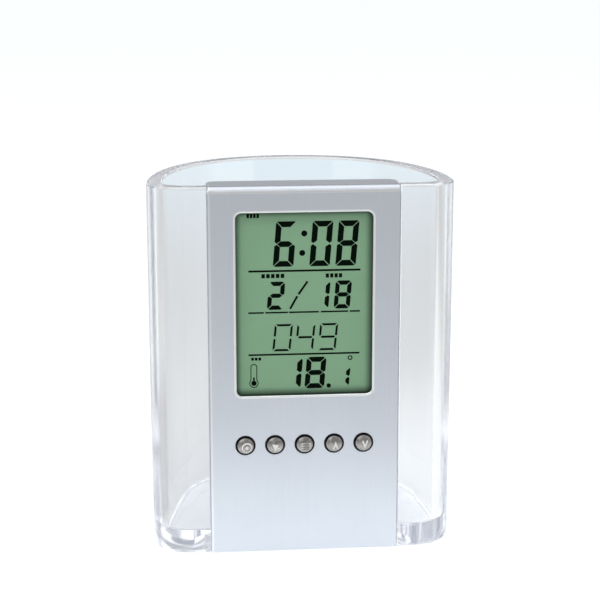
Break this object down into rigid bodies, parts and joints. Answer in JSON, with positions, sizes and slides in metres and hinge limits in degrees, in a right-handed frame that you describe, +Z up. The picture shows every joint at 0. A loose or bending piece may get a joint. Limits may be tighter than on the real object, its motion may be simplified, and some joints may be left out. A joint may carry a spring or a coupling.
{
  "type": "pen holder clock",
  "caption": "Clear D-shaped desk pen holder with a silver LCD clock module, its buttons, battery and electronics as separate pieces.",
  "frame": {"origin": "on the table under the middle of the whole object's box", "axes": "+X to the right seen from the display side, +Y from the display to the curved back, +Z up"},
  "size_m": [0.09, 0.0692, 0.11],
  "materials": {
    "clear_plastic": "clear, polished",
    "silver_casing": "satin metallic silver coat on plastic",
    "button_metal": "metallised warm grey",
    "lcd_face": "grey-green display film",
    "lcd_glass": "thin clear sheet",
    "reflector_film": "matt reflector",
    "white_plastic": "moulded white",
    "black_rubber": "layered conductive rubber",
    "grey_rubber": "silicone rubber",
    "board_green": "green lacquered laminate",
    "black_epoxy": "cast black resin",
    "black_plastic": "moulded black",
    "tan_ceramic": "ceramic",
    "bright_steel": "plated bright steel"
  },
  "bodies": {
    "cup": {"clear_cup": "clear_plastic"},
    "clock_module": {"front_housing": "silver_casing", "back_cover": "silver_casing", "lcd_front_glass": "lcd_glass", "lcd_polariser": "lcd_face", "lcd_rear_glass": "lcd_glass", "lcd_reflector": "reflector_film", "lcd_frame": "white_plastic", "connector_strip": "black_rubber", "keypad": "grey_rubber", "circuit_board": "board_green", "controller_chip": "black_epoxy", "quartz_crystal": "bright_steel", "buzzer": "black_plastic", "thermistor": "black_epoxy", "chip_capacitors": "tan_ceramic", "case_screws": "bright_steel", "board_screws": "bright_steel", "button_cell": "bright_steel", "positive_contact": "bright_steel", "negative_contact": "bright_steel"},
    "battery_door": {"battery_door": "silver_casing"},
    "alarm_button": {"alarm_button": "button_metal"},
    "snooze_button": {"snooze_button": "button_metal"},
    "set_button": {"set_button": "button_metal"},
    "up_button": {"up_button": "button_metal"},
    "down_button": {"down_button": "button_metal"}
  },
  "joints": [
    {"name": "module_lift", "type": "slide", "parent": "cup", "child": "clock_module", "axis": [0, 0, 1], "range_m": [0, 0.112]},
    {"name": "alarm_press", "type": "slide", "parent": "clock_module", "child": "alarm_button", "axis": [0, 1, 0], "range_m": [0, 0.0006], "stiffness_N_per_m": 200},
    {"name": "snooze_press", "type": "slide", "parent": "clock_module", "child": "snooze_button", "axis": [0, 1, 0], "range_m": [0, 0.0006], "stiffness_N_per_m": 200},
    {"name": "set_press", "type": "slide", "parent": "clock_module", "child": "set_button", "axis": [0, 1, 0], "range_m": [0, 0.0006], "stiffness_N_per_m": 200},
    {"name": "up_press", "type": "slide", "parent": "clock_module", "child": "up_button", "axis": [0, 1, 0], "range_m": [0, 0.0006], "stiffness_N_per_m": 200},
    {"name": "down_press", "type": "slide", "parent": "clock_module", "child": "down_button", "axis": [0, 1, 0], "range_m": [0, 0.0006], "stiffness_N_per_m": 200},
    {"name": "door_turn", "type": "hinge", "parent": "clock_module", "child": "battery_door", "pos_m": [0, -0.02155, 0.0169], "axis": [0, 1, 0], "range_deg": [0, 60]}
  ]
}
